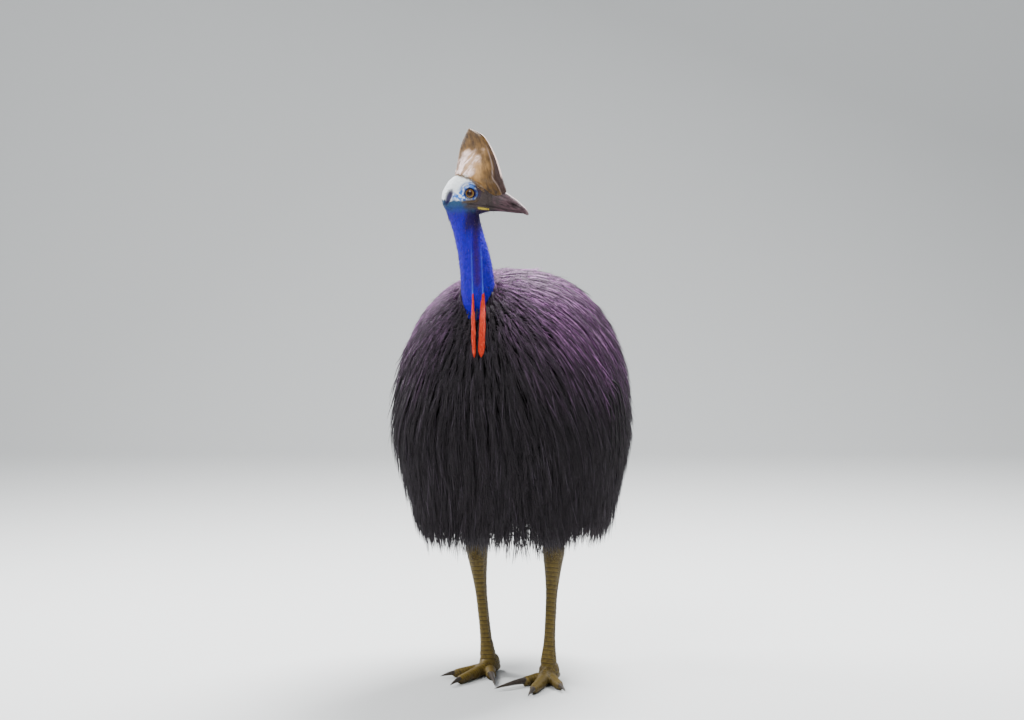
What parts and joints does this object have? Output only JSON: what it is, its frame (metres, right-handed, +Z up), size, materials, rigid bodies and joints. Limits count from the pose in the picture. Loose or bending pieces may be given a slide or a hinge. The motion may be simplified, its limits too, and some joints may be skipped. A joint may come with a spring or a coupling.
{
  "type": "cassowary",
  "caption": "Standing southern cassowary with a tall casque, bare blue neck, paired red wattles and a coat of black drooping plumes, head turned to its left.",
  "frame": {"origin": "on the floor, under the middle of the bounding box", "axes": "+Z up, the breast faces -Y, and the bird's own left side is +X"},
  "size_m": [0.5852, 0.818, 1.392],
  "materials": {
    "face_skin": "bare wrinkled skin, pale blue",
    "casque_horn": "worn horn, brown",
    "bill_horn": "satin horn, near black",
    "neck_skin": "bare wrinkled skin, deep blue",
    "wattle_skin": "soft warty skin, orange red",
    "plumes": "coarse hair-like plumes, black with a purple sheen",
    "eye": "wet, brown iris and dark pupil",
    "quill": "smooth black quill",
    "leg_scales": "scaly skin, olive brown",
    "claw_horn": "satin horn, dark"
  },
  "bodies": {
    "root": {"head": "face_skin", "casque": "casque_horn", "bill_upper": "bill_horn", "bill_lower": "bill_horn", "neck_upper": "neck_skin", "neck_lower": "neck_skin", "torso": "plumes", "tail": "plumes", "eye_left": "eye", "wattle_left": "wattle_skin", "wing_left": "quill", "thigh_left": "plumes", "shank_left": "leg_scales", "foot_left": "leg_scales", "claw_middle_left": "claw_horn", "claw_outer_left": "claw_horn", "claw_inner_left": "claw_horn", "eye_right": "eye", "wattle_right": "wattle_skin", "wing_right": "quill", "thigh_right": "plumes", "shank_right": "leg_scales", "foot_right": "leg_scales", "claw_middle_right": "claw_horn", "claw_outer_right": "claw_horn", "claw_inner_right": "claw_horn"}
  },
  "joints": []
}
